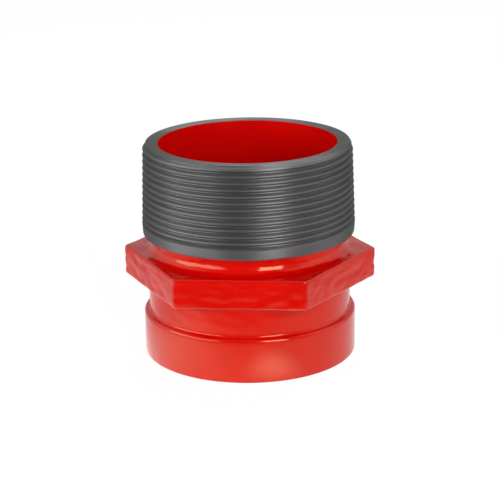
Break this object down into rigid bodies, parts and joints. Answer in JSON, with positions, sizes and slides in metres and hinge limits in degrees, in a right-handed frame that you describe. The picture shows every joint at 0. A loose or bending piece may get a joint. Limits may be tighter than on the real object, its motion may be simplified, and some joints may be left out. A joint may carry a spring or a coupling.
{
  "type": "grooved threaded adapter",
  "caption": "Short bored pipe adapter with a grooved end for a clamp coupling, a hexagon for the wrench and a tapered male pipe thread.",
  "frame": {"origin": "centre of the grooved end's face, on the axis of the bore", "axes": "+Z along the bore towards the thread; two of the hexagon's flats face -Y and +Y, and two of its corners point to -X and +X"},
  "size_m": [0.0898, 0.0782, 0.0766],
  "materials": {
    "enamelled_metal": "gloss red enamel over a slightly rippled casting; the thread, its collar and the rim are bare machined metal"
  },
  "bodies": {
    "root": {"adapter_body": "enamelled_metal"}
  },
  "joints": []
}
